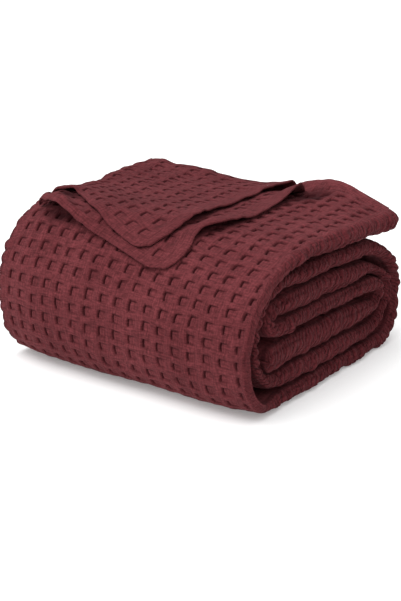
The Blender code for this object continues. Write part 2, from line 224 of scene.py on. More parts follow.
def add_object(name, data, turn=(1, 0, 0, 0)):
    """A new object with its data, in the scene, turned by a quaternion."""
    thing = bpy.data.objects.new(name, data)
    thing.rotation_mode = "QUATERNION"
    thing.rotation_quaternion = turn
    bpy.context.scene.collection.objects.link(thing)
    return thing


def make_piece(name, points, faces, coords, depth, edge):
    """A smooth mesh piece from whole arrays of points and quads.

    coords is the cloth's own measure in metres, kept as the UV map "cloth". depth is painted shade, from 0
    for none to 1 in the darkest slits, creases and hollows, and edge runs from 0 on a face to 1 on a folded
    long
    edge: the attributes "depth" and "edge".
    """
    mesh = bpy.data.meshes.new(name)
    mesh.from_pydata(points.reshape(-1, 3).tolist(), [], faces)
    mesh.shade_smooth()
    loops = np.empty(len(mesh.loops), dtype=np.int32)
    mesh.loops.foreach_get("vertex_index", loops)
    flat = coords.reshape(-1, 2)[loops].astype(np.float32)
    mesh.uv_layers.new(name="cloth").data.foreach_set("uv", flat.ravel())
    for label, values in (("depth", depth), ("edge", edge)):
        attribute = mesh.attributes.new(label, "FLOAT", "POINT")
        attribute.data.foreach_set("value", values.astype(np.float32).ravel())
    return add_object(name, mesh)


def closed_tube(name, points, coords, depth, edge):
    """A grid of points [row, column, 3] closed round its columns, with a flat face at each end."""
    rows, columns = points.shape[:2]
    index = np.arange(rows * columns).reshape(rows, columns)
    after = np.roll(index, -1, axis=1)
    faces = np.stack([index[:-1], after[:-1], after[1:], index[1:]], axis=-1).reshape(-1, 4).tolist()
    faces += [index[0, ::-1].tolist(), index[-1].tolist()]
    return make_piece(name, points, faces, coords, depth, edge)


def closed_sheet(name, top, bottom, coords, depth):
    """A top and a bottom grid of the same size, joined along their four edges."""
    rows, columns = top.shape[:2]
    index = np.arange(rows * columns).reshape(rows, columns)
    below = index + rows * columns
    ring = np.concatenate([index[0, :-1], index[:-1, -1], index[-1, :0:-1], index[:0:-1, 0]])
    after = np.roll(ring, -1)
    upper = np.stack([index[:-1, :-1], index[1:, :-1], index[1:, 1:], index[:-1, 1:]], axis=-1)
    lower = np.stack([below[:-1, :-1], below[:-1, 1:], below[1:, 1:], below[1:, :-1]], axis=-1)
    side = np.stack([ring, after, after + rows * columns, ring + rows * columns], axis=-1)
    faces = np.vstack([upper.reshape(-1, 4), lower.reshape(-1, 4), side]).tolist()
    points = np.vstack([top.reshape(-1, 3), bottom.reshape(-1, 3)])
    coords = np.vstack([coords.reshape(-1, 2)] * 2)
    depth = np.concatenate([depth.ravel(), 0 * depth.ravel()])
    return make_piece(name, points, faces, coords, depth, 0 * depth)


# ==== the winding
BOX_STEPS = 900  # points on a line that measures the winding's box
FLAT_SHARE, PEAK_SHARE = 0.86, 0.4  # shares of the reach where the flat face ends, and the loose end peaks


def path_lengths(path):
    """Distance along a path from its first point, from its first two columns."""
    steps = np.linalg.norm(np.diff(path[:, :2], axis=0), axis=1)
    return np.concatenate([[0], np.cumsum(steps)])


def on_curve(curve, lengths, at):
    """Points at distances along a curve with two columns, whose own points lie at the lengths."""
    return np.stack([np.interp(at, lengths, curve[:, k]) for k in range(2)], axis=-1)


def quarter(start, end, power, leaves_flat):
    """Points of a quarter superellipse from start to end, both (y, z), without its first point."""
    angle = 0.5 * math.pi * np.arange(1, BEND_STEPS + 1) / BEND_STEPS
    slow = 1 - np.clip(np.cos(angle), 0, 1) ** (2 / power)
    fast = np.sin(angle) ** (2 / power)
    share = np.stack([fast, slow] if leaves_flat else [slow, fast], axis=1)
    return start + (end - start) * share


def winding_path():
    """The strip's middle line from the loose end to the core, and the cloth distance of each of its points.

    Runs joined by bends, each bend two quarter superellipses, in rows of y, z, right reach, left reach and
    thickness. The thickness is held round the middle of each run and the tip of each bend, and changes evenly
    from one to the next.
    """
    stretches, held, count = [], [], 0
    for index, (height, back, front, right, left, thickness) in enumerate(RUNS):
        start, end = np.array((back, height)), np.array((front, height))
        if index % 2 == 1:
            start, end = end, start
        share = np.arange(0 if index == 0 else 1, RUN_STEPS + 1) / RUN_STEPS
        run = start + (end - start) * share[:, None]
        stretches.append(np.hstack([run, np.tile([right, left], (len(run), 1))]))
        held += [(count + k, thickness) for k in np.flatnonzero(np.abs(share - 0.5) < RUN_HOLD)]
        count += len(run)
        if index < len(BENDS):
            tip_y, tip_z, upper, lower, bend_thickness = BENDS[index]
            following = RUNS[index + 1]
            tip = np.array((tip_y, tip_z))
            landing = np.array((following[2 if tip_y < 0 else 1], following[0]))
            first, second = (upper, lower) if end[1] > landing[1] else (lower, upper)
            bend = np.vstack([quarter(end, tip, first, True), quarter(tip, landing, second, False)])
            t = np.linspace(0, 1, len(bend))
            here = np.array([right, left])
            reach = here + (np.array(following[3:5]) - here) * t[:, None]
            stretches.append(np.hstack([bend, reach]))
            held += [(count + k, bend_thickness) for k in np.flatnonzero(np.abs(t - 0.5) < 0.5 * BEND_HOLD)]
            count += len(bend)
    path = np.vstack(stretches)
    s = path_lengths(path)
    places, values = np.array(held).T
    return np.hstack([path, np.interp(s, s[places.astype(int)], values)[:, None]]), s


def settle(points):
    """Slump of the rolled blanket, as smooth shifts of every point.

    A low dome on top, a far end that stands higher, ends that draw in, a loose end that stands up where its
    corner is turned back, a spiral end that reaches out at the back, a slow sway, and a flat underside.
    """
    x, y, z = points[..., 0], points[..., 1], points[..., 2]
    reach = RUNS[0][3]
    far = smooth_step((TAPER_LENGTH - reach - x) / TAPER_LENGTH)
    near = smooth_step((TAPER_LENGTH - reach + x) / TAPER_LENGTH)
    shrink = 1 - END_TAPER * far - NEAR_TAPER * near
    floor_shrink = 1 - FLOOR_TAPER_SHARE * (1 - shrink)
    high = np.clip(z / RUNS[0][0], 0, HIGHEST_SHARE)
    dome = DOME_RISE * high * np.clip(1 - (y / DOME_WIDTH) ** 2, DOME_LEAST, 1)
    shoulder = FAR_SHOULDER * bell(y, *FAR_SHOULDER_Y)
    lift = (FAR_RISE + shoulder) * high ** 2 * fall(x, *FAR_RISE_X)
    hem = HEM_RISE * high ** HEM_RISE_POWER * rise(y, HEM_RISE_Y, RUNS[0][1] - HEM_RISE_Y)
    lift = lift + hem * bell(x, HEM_RISE_X, np.where(x < HEM_RISE_X, HEM_RISE_LEFT, HEM_RISE_RIGHT))
    new_x = x * (1 + END_SKEW * smooth_step(x / reach) * y / RUNS[0][1])
    sway = SWAY * high * np.sin(SWAY_RATE * x + SWAY_PHASE)
    new_z = CORE_HEIGHT + (z - CORE_HEIGHT) * np.where(z < CORE_HEIGHT, floor_shrink, shrink)
    new_z = np.maximum(new_z + dome + lift, FLOOR_PRESS) - FLOOR_PRESS
    return np.stack([new_x, y * shrink + sway, new_z], axis=-1)


class Winding:
    """The wound strip, addressed by x, by s, and by the distance out of its middle."""

    def __init__(self):
        path, s = winding_path()
        self.s = np.linspace(0, s[-1], PATH_STEPS)
        self.y, self.z, self.right, self.left, self.thick = (np.interp(self.s, s, row) for row in path.T)
        tangent = np.gradient(np.stack([self.y, self.z], axis=1), axis=0)
        tangent /= np.linalg.norm(tangent, axis=1)[:, None]
        self.normal = np.stack([tangent[:, 1], -tangent[:, 0]], axis=1)
        self.length = float(s[-1])
        self.shift = np.zeros(3)

    def half(self, s):
        """Half the strip's thickness at s."""
        return 0.5 * np.interp(s, self.s, self.thick)

    def place(self, x, s, out):
        """Points for arrays of x, s and out: along the path by s, off it by out, then settled."""
        y, z, out_y, out_z = (np.interp(s, self.s, row) for row in (self.y, self.z, *self.normal.T))
        points = np.stack(np.broadcast_arrays(x, y + out_y * out, z + out_z * out), axis=-1)
        return settle(points) + self.shift


def centre_on(winding, node):
    """Shift the winding in x and y, so that the box round six lines along it is centred on the node's box."""
    s = np.linspace(0, winding.length, BOX_STEPS)[:, None]
    half = winding.half(s) * rounded(np.minimum(s, winding.length - s), NOSE_LENGTH)
    right = np.interp(s, winding.s, winding.right)
    left = np.interp(s, winding.s, winding.left)
    lines = ((right, 0 * s), (left, 0 * s), (FLAT_SHARE * right, half), (FLAT_SHARE * left, half),
             (0 * s, half), (PEAK_SHARE * right, half))
    box = np.vstack([winding.place(x, s, out).reshape(-1, 3) for x, out in lines])
    low, high = (np.array(corner[:]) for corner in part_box(node))
    winding.shift = 0.5 * (low + high) - 0.5 * (box.min(axis=0) + box.max(axis=0))
    winding.shift[2] = 0


# ==== the waffle relief
def cell_lines(first, pitch, shares, low, high):
    """The grid lines of a row of cells between low and high: every share of every cell."""
    cells = np.arange(math.floor((low - first) / pitch) - 1, math.ceil((high - first) / pitch) + 2)
    lines = np.sort((first + (cells[:, None] + np.array(shares)) * pitch).ravel())
    return lines[(lines > low + LINE_GAP) & (lines < high - LINE_GAP)]


def row_tables(length):
    """Cloth distances of the rows' middles, evenly spaced past ROW_PLACES, and their numbers plus a half."""
    more = np.arange(ROW_PLACES[-1] + CELL_LENGTH, length + CELL_LENGTH, CELL_LENGTH)
    places = np.concatenate([[ROW_PLACES[0] - 2 * CELL_LENGTH], ROW_PLACES, more])
    counts = np.concatenate([[-2], np.arange(len(places) - 1)]) + 0.5
    return places, counts


def row_lines(length, low, high):
    """Cloth distances of the rows' grid lines between low and high."""
    places, counts = row_tables(length)
    lines = (np.arange(-2, counts[-1])[:, None] + np.array(ROW_LINES)).ravel()
    lines = np.interp(lines, counts, places)
    return lines[(lines > low + LINE_GAP) & (lines < high - LINE_GAP)]


def column_lean(s):
    """How far the columns of cells stand towards the far end at s."""
    return COLUMN_LEAN * (1 - rise(s, *LEAN_S))


def waffle(across, along):
    """Depth and shade of the waffle weave for counts of cells across and along it, and its slits' stray in x.

    A cell is a ridge round a shallow pit, with a deep slit along the pit's left wall: one profile across the
    cell times one along it. The shade is painted shade in the slit and along the pit's two end walls. Cells
    differ in depth, length and shade. A slit strays, tilts, and bows to the left in its middle, by a
    parabola.
    """
    column, row = np.floor(across), np.floor(along)
    share_across, share_along = across - column, along - row
    from_middle = share_along - 0.5
    stretched = 0.5 + from_middle * (1 + CELL_STRETCH * cell_noise(column, row, 5))
    inside = np.interp(stretched, ROW_LINES + (1,), ROW_PROFILE + (0,))
    profile = np.interp(share_across, CELL_LINES + (1,), PIT_PROFILE + (0,))
    slit = np.interp(share_across, CELL_LINES + (1,), SLIT_SHADE + (0,))
    ridge_across = np.clip(np.cos(2 * math.pi * (share_across + CROWN_SHIFT)), 0, 1)
    ridge_along = np.clip(np.cos(2 * math.pi * share_along), 0, 1)
    crown = CROWN_HEIGHT * np.maximum(ridge_across, ridge_along)
    depth = PIT_DEPTH * (1 + PIT_SPREAD * cell_noise(column, row, 1)) * profile * inside - crown
    walls = sum(shade * bell(stretched, place, WALL_WIDTH) for place, shade in WALL_SHADES)
    walls = walls * between(share_across, *WALL_SPAN)
    slit = slit * inside * np.clip(SLIT_SHADE_MEAN + SHADE_SPREAD * cell_noise(column, row, 2), 0, 1)
    bow = SLIT_BOW * np.clip(1 - (from_middle / SLIT_HALF_LENGTH) ** 2, 0, 1)
    tilt = SLIT_TILT * from_middle * cell_noise(column, row, 4)
    pull = bell(share_across, *SLIT_PLACE)
    stray = pull * (SLIT_DRIFT * cell_noise(column, row, 3) - bow - tilt)
    return depth, np.maximum(slit, walls), stray


def hem_relief(from_hem, width, ramp, seam_size):
    """Depth of a plain raised hem of a width, less than 0, with its sunk seam, and the seam's own bell."""
    seam = bell(from_hem, HEM_SEAM * width / HEM_WIDTH, seam_size)
    return seam_size * seam - HEM_STEP * fall(from_hem, width, ramp), seam


# ==== the rolled strip
EDGE_ANGLES = np.radians(np.linspace(82, -82, 23))  # round a long edge, from the outer to the inner face
# The right edge's bends: where each starts and ends, as s, with its soft ramps.
FRONT_BEND = (0.255, 0.07, 0.52, 0.05)
SECOND_BEND = (1.08, 0.08, 1.42, 0.08)
SECOND_BEND_INSET = 0.003  # how far the second one stays in behind the first
# The front bend's edge is a lip, rounded far less at its inner face: how far it stays in, by angle.
LIP_ANGLES = (-82, -75, -60, -40, -20, 0, 20, 40, 60, 82)
LIP_INSETS = (0.009, 0.0012, 0, 0.0004, 0.001, 0.0018, 0.0027, 0.0037, 0.0048, 0.0062)
LIP_CALM, LIP_RIB_SHADE = 0.8, 0.9  # the shares of the ribs and of their shade that it lacks
CORNER_ROUNDING, CORNER_LENGTH = 0.01, 0.035  # the loose end's corners are rounded off
ANGLE_WAVER, ANGLE_LUMPS = 0.02, 0.012  # metres a radian, where ripples run round an edge
VALLEY, VALLEY_SHADE = (-0.35, 0.55), 0.62  # painted shade between the ribs, below this share of a crest
# Creases between the layers along an edge: angle, in radians, and a seed for where they wander.
PLY_CREASES = ((0.45, 31), (-0.5, 37))
PLY_WANDER, PLY_WANDER_RATE, PLY_WIDTH = 0.3, 28, 0.14
# a crease's depth, its painted shade, and how much and how often it shows
PLY_DEPTH, PLY_SHADE, PLY_SHARE, PLY_SHARE_RATE = 0.0012, 0.45, 0.45, 24
# Painted shade by angle round an edge: how dark, from which angle on, and over which ramp.
FOOT_SHADE = (0.95, 0.9, 0.4)  # where the edge meets the next turn,
FOOT_FROM = (0.95, 0.1)  # on its outer side from this s on
BEHIND_LIP = (0.85, 0.35, 0.5)  # the second bend, behind the lip
UNDER_LIP = (0.9, -0.95, 0.25)  # the lip's own underside
# painted shade on the lip's face, between these angles
LIP_SHADE, LIP_SPAN = 0.22, (-0.9, 0.3, 0.95, 0.5)
LIP_BORDER_SHADE, LIP_BORDER, LIP_BORDER_RAMP = 0.15, 0.016, 0.012  # painted shade on the face beside the lip
EDGE_FADE, LIP_EDGE_SHARE = 0.7, 0.6  # the edge's ribs and painted shade fade in over this angle
# Powers of the sine or cosine that shape the edge and its crests, and end its push and shade at the faces.
PUFF_POWER, CREST_POWER, PUSH_POWER, SHADE_POWER = 0.9, 0.8, 0.5, 0.3
INNER_MARGIN = 0.002  # the inner face's grid lines stay this far inside the edges


def edge_profile(winding, s, side):
    """x and out of a long edge for rows s and EDGE_ANGLES, and its shade.

    A half ellipse, on the front bend mixed with a lip, pushed out by slow lumps and by rounded ribs with
    narrow valleys, and in by creases between the layers. Its shade is painted shade in the valleys and
    creases, where the edge meets the next turn, and round the lip. side is 1 on the right and -1 on the left.
    """
    half = winding.half(s)
    angles = EDGE_ANGLES[None, :]
    reach = np.interp(s, winding.s, winding.right) if side > 0 else -np.interp(s, winding.s, winding.left)
    reach += uneven(s, 0, EDGE_SWAY, side)
    reach -= CORNER_ROUNDING * np.clip(1 - s / CORNER_LENGTH, 0, 1) ** 2
    share, second = (between(s, *bend) * (side > 0) for bend in (FRONT_BEND, SECOND_BEND))
    reach -= SECOND_BEND_INSET * second
    inset = EDGE_PUFF * (1 - np.cos(angles) ** PUFF_POWER)
    inset = inset + (np.interp(np.degrees(angles), LIP_ANGLES, LIP_INSETS) - inset) * share
    turn = s / RIB_PITCH + uneven(s, 0, RIB_SWAY, side) + RIB_LEAN * np.sin(angles)
    turn += uneven(s, ANGLE_WAVER * angles, RIB_WAVER)
    crest = 2 * np.abs(np.sin(math.pi * turn)) ** CREST_POWER - 1
    strength = 1 + RIB_SPREAD * cell_noise(np.floor(turn), 0 * angles, 20 + side)
    push = RIB_HEIGHT * ((1 + crest) * strength - 1) + uneven(s, ANGLE_LUMPS * angles, RIB_LUMPS, side)
    shade = VALLEY_SHADE * (1 - LIP_RIB_SHADE * share) * fall(crest, *VALLEY)
    for level, seed in PLY_CREASES:
        middle = level + PLY_WANDER * ripple(s, 0, PLY_WANDER_RATE, seed + side)
        shown = smooth_step(PLY_SHARE + ripple(s, 0, PLY_SHARE_RATE, seed + 2))
        dent = bell(angles, middle, PLY_WIDTH) * shown
        push -= PLY_DEPTH * dent
        shade = np.maximum(shade, PLY_SHADE * dent)
    touching = np.where(angles > 0, rise(s, *FOOT_FROM), 1)
    shade = darkest(shade, FOOT_SHADE[0] * touching * rise(np.abs(angles), *FOOT_SHADE[1:]),
                    BEHIND_LIP[0] * second * rise(angles, *BEHIND_LIP[1:]),
                    UNDER_LIP[0] * share * fall(angles, *UNDER_LIP[1:]),
                    LIP_SHADE * share * between(angles, *LIP_SPAN))
    push = push * np.cos(angles) ** PUSH_POWER * (1 - LIP_CALM * share)
    x = side * (reach - inset + push * np.cos(angles))
    out = half * np.sin(angles) - SHOULDER_DROP * np.clip(np.sin(angles), 0, 1) + push * np.sin(angles)
    return x, out, shade * np.cos(angles) ** SHADE_POWER


def strip_skin(name, winding, s_rows, face_x, inner_count, patterned):
    """The strip between two cloth distances as a closed skin: outer face, left edge, inner face, right edge.

    The outer face carries the waffle relief and its painted shade where patterned. The ends close flat,
    inside the next stretch.
    """
    s = s_rows[:, None]
    half = winding.half(s)
    right_x, right_out, right_shade = edge_profile(winding, s, 1)
    left_x, left_out, left_shade = edge_profile(winding, s, -1)
    face_right, face_left = right_x[:, :1] - FACE_MARGINS[0], left_x[:, :1] + FACE_MARGINS[1]
    lean = column_lean(s)
    last, first = face_right + lean - EDGE_CROWDING, face_left + lean + EDGE_CROWDING
    beyond = (face_x - last) * EDGE_CROWDING / (face_x.max() - last)
    before = (face_x - first) * EDGE_CROWDING / (first - face_x.min())
    wide = np.where(face_x > last, last + beyond, np.where(face_x < first, first + before, face_x)) - lean
    across = (face_x[None, :] - FIRST_COLUMN_X) / CELL_WIDTH + 0 * s
    along = np.interp(s, *row_tables(winding.length)) + 0 * face_x[None, :]
    depth = shade = stray = 0 * wide
    dip = spot(wide, s, *HEM_DIP_SPOT)
    if patterned:
        slit_x = FIRST_COLUMN_X + (np.floor(across) + SLIT_END) * CELL_WIDTH
        cells = rise(s, HEM_WIDTH + HEM_MARGIN, HEM_FADE) * fall(wide, face_right, FACE_FADE)
        cells = cells * fall(slit_x, last + COLUMN_FADE, COLUMN_FADE) * rise(slit_x, first, COLUMN_FADE)
        depth, shade, stray = (value * cells for value in waffle(across, along))
        depth += hem_relief(s, HEM_WIDTH, HEM_STEP_RAMP, SEAM_SIZE)[0]
        # Painted shade: at the dip and its foot, under the turned corner's left end, and on the face beside
        # the lip.
        foot_x, foot_s = wide - HOLLOW_X, s - HOLLOW_S
        lengthwise = math.cos(HOLLOW_LEAN) * foot_x - math.sin(HOLLOW_LEAN) * foot_s
        crosswise = math.sin(HOLLOW_LEAN) * foot_x + math.cos(HOLLOW_LEAN) * foot_s
        hollow = spot(lengthwise, crosswise, 0, HOLLOW_LENGTH, 0, HOLLOW_WIDTH)
        border = rise(wide, face_right - LIP_BORDER, LIP_BORDER_RAMP) * between(s, *FRONT_BEND)
        hollow = np.minimum(HOLLOW_SHADE * np.maximum(hollow, DIP_SHADE * dip), DARKEST_SHADE)
        shade = darkest(shade, hollow, MOUTH_SHADE * spot(wide, s, *MOUTH_SPOT), LIP_BORDER_SHADE * border)
    swell = uneven(wide, s, FACE_SWELL)
    shoulder = rise(np.abs(wide), *SHOULDER_X)
    rim = HEM_RIM * bell(wide, *HEM_RIM_X) * fall(s, *HEM_RIM_S)
    outer_out = half + swell * (1 - shoulder) - SHOULDER_DROP * shoulder - depth - HEM_DIP * dip + rim
    inner_width = right_x[:, -1:] - left_x[:, -1:] - 2 * INNER_MARGIN
    inner_x = np.linspace(1, 0, inner_count)[None, :] * inner_width + left_x[:, -1:] + INNER_MARGIN
    inner_out = -half + 0 * inner_x
    shifted = wide + uneven(wide, s, FACE_SHIFT_X) + stray
    x = np.hstack([shifted[:, ::-1], left_x, inner_x[:, ::-1], right_x[:, ::-1]])
    out = np.hstack([outer_out[:, ::-1], left_out, inner_out, right_out[:, ::-1]])
    out = out * rounded(np.minimum(s, winding.length - s), NOSE_LENGTH, NOSE_LEAST)
    shade = np.hstack([shade[:, ::-1], left_shade, 0 * inner_out, right_shade[:, ::-1]])
    s_all = s + 0 * x
    s_all[:, :wide.shape[1]] += uneven(wide, s, FACE_SHIFT_S)[:, ::-1]
    points = winding.place(x, np.clip(s_all, 0, winding.length), out)
    girth = np.hypot(np.diff(x, axis=1, prepend=x[:, :1]), np.diff(out, axis=1, prepend=out[:, :1]))
    girth = np.cumsum(girth, axis=1).mean(axis=0)[None, :] + 0 * x
    girth[:, :wide.shape[1]] = CELL_WIDTH * across[:, ::-1]
    coords = np.stack([girth, CELL_LENGTH * along[:, :1] + 0 * x], axis=-1)
    puffed = fall(np.abs(EDGE_ANGLES), EDGE_ANGLES.max(), EDGE_FADE)[None, :] + 0 * s
    lip = puffed * (1 - LIP_EDGE_SHARE * between(s, *FRONT_BEND))
    return closed_tube(name, points, coords, shade, np.hstack([0 * wide, puffed, 0 * inner_out, lip]))


FACE_SPAN = (-0.177, 0.1915)  # x between which the outer face has grid lines
INNER_FACE = (-0.177, 0.176, 16)  # the same for the inner turns, and how many
INNER_LINES, CORE_LINES = 7, 6  # grid lines across the inner face of the outer turns, and of the inner ones
SEAM_ROWS = (26, 51)  # rows of cells at which the stretches of the strip meet
NOSE_ROWS = (14, 9)  # grid rows in which the loose end and the core's end round off
INNER_ROW = 0.0021  # from one grid row of the inner turns to the next


def roll_pieces(winding):
    """The wound strip in three stretches: top and front, base and back, and inner turns."""
    face_x = cell_lines(FIRST_COLUMN_X, CELL_WIDTH, CELL_LINES, *FACE_SPAN)
    places, counts = row_tables(winding.length)
    front_seam, back_seam = np.interp(SEAM_ROWS, counts, places)
    start_rows, end_rows = (NOSE_LENGTH * (1 - np.cos(np.linspace(0, 0.5 * math.pi, count)))
                            for count in NOSE_ROWS)
    hem_rows = [line for line in HEM_LINES if line > NOSE_LENGTH]
    top_rows = [start_rows, hem_rows, row_lines(winding.length, HEM_WIDTH, front_seam), [front_seam]]
    back_rows = [[front_seam], row_lines(winding.length, front_seam, back_seam), [back_seam]]
    inner_rows = [np.arange(back_seam, winding.length - NOSE_LENGTH, INNER_ROW),
                  winding.length - end_rows[:-1][::-1]]
    inner_x = np.linspace(*INNER_FACE)
    return [strip_skin(name, winding, np.concatenate(rows), columns, inner_count, patterned)
            for name, rows, columns, inner_count, patterned in (
                ("roll_top_and_front", top_rows, face_x, INNER_LINES, True),
                ("roll_base_and_back", back_rows, face_x, INNER_LINES, True),
                ("roll_inner_turns", inner_rows, inner_x, CORE_LINES, False))]


# ==== the turned corner
MILLIMETRE = 0.001
# Outlines on the roll's outer face, (x, s), in millimetres. A sheet is folded over at its back and left.
# Its hem runs from the back to the tip, and its front edge from the left to the tip. heights are lifts of its
# top face over the roll, (x, s, lift). Those of 30 past the upper sheet's front edge are open air, so that
# the lower sheet isn't held down there.
UPPER_CORNER = {
    "left": ((-168, 92), (-169, 123), (-166, 164), (-164, 205), (-163, 250), (-162, 290)),
    "back": ((-168, 92), (-162, 66), (-112, 50), (-60, 40), (-10, 30), (18, 22), (42, 18)),
    "hem": ((42, 18), (35, 50), (33, 77), (35, 130), (41, 181), (42, 225), (48, 252), (49, 268), (46, 280),
            (44, 290), (38, 306), (28, 322)),
    "front": ((-162, 290), (-147, 279), (-133, 272), (-117, 277), (-101, 286), (-82, 297), (-68, 302),
              (-37, 315), (-10, 323), (10, 327), (28, 322)),
    "heights": ((-168, 92, 26.5), (-162, 66, 31.5), (-112, 50, 22.5), (-85, 45, 20), (-60, 40, 15.5),
                (-40, 36, 13.5), (-10, 30, 13), (16, 22, 16), (42, 18, 17), (-168, 123, 23.5),
                (-165, 164, 19.5), (-163, 205, 15), (-162, 250, 12), (-162, 290, 5), (-147, 279, 12),
                (-133, 272, 13.5), (-117, 277, 8.5), (-101, 287, 9.5), (-92, 291, 10.5), (-82, 297, 11),
                (-160, 320, 30), (-135, 318, 30), (-110, 320, 30), (-88, 326, 30), (-68, 302, 11),
                (-37, 315, 9.5), (-8, 324, 9), (14, 328, 9), (34, 321, 9), (38, 306, 9.5), (44, 291, 11),
                (46, 279, 14), (49, 266, 18), (46, 252, 16.5), (42, 225, 12), (41, 181, 10), (35, 130, 11),
                (33, 77, 14), (35, 54, 16), (-115, 115, 17), (-115, 165, 14), (-115, 215, 11.5),
                (-110, 255, 11.5), (-70, 110, 12), (-70, 170, 10.5), (-70, 225, 9.5), (-60, 275, 9),
                (-25, 85, 11), (-25, 145, 9.5), (-20, 205, 9), (-10, 265, 9), (5, 60, 13), (10, 115, 10),
                (15, 170, 9), (18, 220, 10), (24, 262, 12.5), (18, 296, 9)),
}
LOWER_CORNER = {
    "left": ((-158, 110), (-162, 200), (-166, 250), (-165, 303)),
    "back": ((-158, 110), (-100, 66), (-40, 52), (12, 40), (60, 30)),
    "hem": ((60, 30), (71, 60), (75, 100), (77, 136), (82, 167), (83, 199), (82, 228), (80, 249), (75, 265),
            (69, 276), (67, 287), (71, 307), (68, 326), (58, 338)),
    "front": ((-165, 303), (-144, 310), (-124, 314), (-104, 318), (-86, 321), (-68, 323), (-43, 326),
              (-17, 331), (8, 336), (36, 341), (58, 338)),
    "heights": ((-165, 303, 9), (-144, 310, 15), (-128, 314, 20), (-110, 316, 22.5), (-92, 318, 20),
                (-75, 322, 12), (-60, 324, 7), (-43, 326, 5), (-10, 332, 5), (20, 339, 5), (52, 339, 5),
                (68, 326, 5), (71, 307, 5), (67, 286, 7.5), (70, 275, 12), (75, 264, 15), (80, 249, 13),
                (82, 225, 9), (82, 199, 6), (82, 167, 6), (76, 136, 8), (75, 108, 12), (76, 88, 14),
                (73, 66, 10), (67, 45, 5), (60, 30, 1.5), (-158, 110, 5), (-162, 200, 5), (-166, 250, 5),
                (-120, 280, 5.5), (-100, 285, 5.5), (-70, 290, 5), (-20, 300, 5), (30, 300, 5), (42, 262, 6),
                (45, 225, 5), (45, 180, 5), (42, 130, 5.5), (42, 90, 8), (42, 55, 7), (42, 36, 4),
                (-100, 66, 5), (-40, 52, 5), (0, 100, 5), (-60, 180, 5), (0, 200, 5)),
}
SHEET_THICKNESS, SHEET_GAP = 0.0024, 0.0008  # the gap is the least one between the two sheets
HEIGHT_SOFTNESS = 0.009  # distance within which a listed height is rounded off
SHEET_CELL_LENGTH = 0.0212  # the single cloth is drawn out less than the roll's outer face
SHEET_HEM_WIDTH, SHEET_STEP_RAMP = 0.015, 0.001  # the sheets' hem shows half as wide as the loose end's
# the seam's size, and the painted shade in the sunk seam
SHEET_SEAM_SIZE, SHEET_SEAM_SHADE = 0.0006, 0.3
SHEET_SHADE = 0.15  # painted shade laid evenly over both sheets, to make them darker than the thick roll
SHADE_SWING = ((0.5, 150, 8),)  # its slits' painted shade comes and goes
SHEET_PIT_DEPTH = 0.6  # depth of the single cloth's slits, as a share of the strip's
FRONT_MARGIN = 0.008  # plain width along a sheet's front edge
FRONT_LINES = (0, 0.0006, 0.002, 0.005, 0.008)  # grid lines in that width
FOLD_LINES = (0, 0.0004, 0.0016, 0.0036, 0.0064, 0.01, 0.0142)  # grid lines beside a folded edge
FOLD_LINE_GAP = 0.001  # between those and the cells' own
FOLD_MARGIN, MARGIN_FADE = 0.006, 0.002  # plain width there, and beside hem and front edge
ROLL_GAP, TUCK_GAP = 0.0006, 0.0004  # least lifts of a sheet's top and underside at its folds
FOLD_REACH, FOLD_REACH_SHARE = 0.003, 0.45  # a fold rounds over this length and this share of the lift
RIM_REACH, RIM_LEAST = 0.0014, 0.25  # a free edge thins within this reach to this share
LOWER_MOUTH_SPOT = (-0.132, 0.022, 0.281, 0.013)  # painted shade in the hollow between the two sheets' left ends
OUTLINE_STEPS, SPLINE_STEPS = 200, 24


def through(points, count):
    """Evenly spaced points on a smooth curve through the given ones, and its length: a Catmull-Rom spline."""
    points = MILLIMETRE * np.array(points, dtype=float)
    padded = np.vstack([2 * points[0] - points[1], points, 2 * points[-1] - points[-2]])
    t = np.linspace(0, 1, SPLINE_STEPS, endpoint=False)[:, None]
    pieces = []
    for k in range(len(points) - 1):
        a, b, c, d = padded[k:k + 4]
        bent, twisted = 2 * a - 5 * b + 4 * c - d, 3 * b - a - 3 * c + d
        pieces.append(0.5 * (2 * b + (c - a) * t + bent * t ** 2 + twisted * t ** 3))
    curve = np.vstack(pieces + [points[-1:]])
    run = path_lengths(curve)
    return on_curve(curve, run, np.linspace(0, run[-1], count)), run[-1]


def hand_placed(x, s, heights):
    """Lift between the listed heights: their mean, weighed by one over the fourth power of the distance."""
    spots = MILLIMETRE * np.array(heights)
    away = (x[..., None] - spots[:, 0]) ** 2 + (s[..., None] - spots[:, 1]) ** 2 + HEIGHT_SOFTNESS ** 2
    weight = away ** -2.0
    return (weight * spots[:, 2]).sum(axis=-1) / weight.sum(axis=-1)


def sheet_lines(length, first, pitch, shares, edge_lines):
    """Grid lines of a sheet as distances from one edge, falling: the fold's, the cells' and the edge's."""
    cells = cell_lines(first, pitch, 1 - np.array(shares), first, length - FOLD_LINES[-1] - FOLD_LINE_GAP)
    return np.concatenate([edge_lines, cells, length - np.array(FOLD_LINES)[::-1]])[::-1]


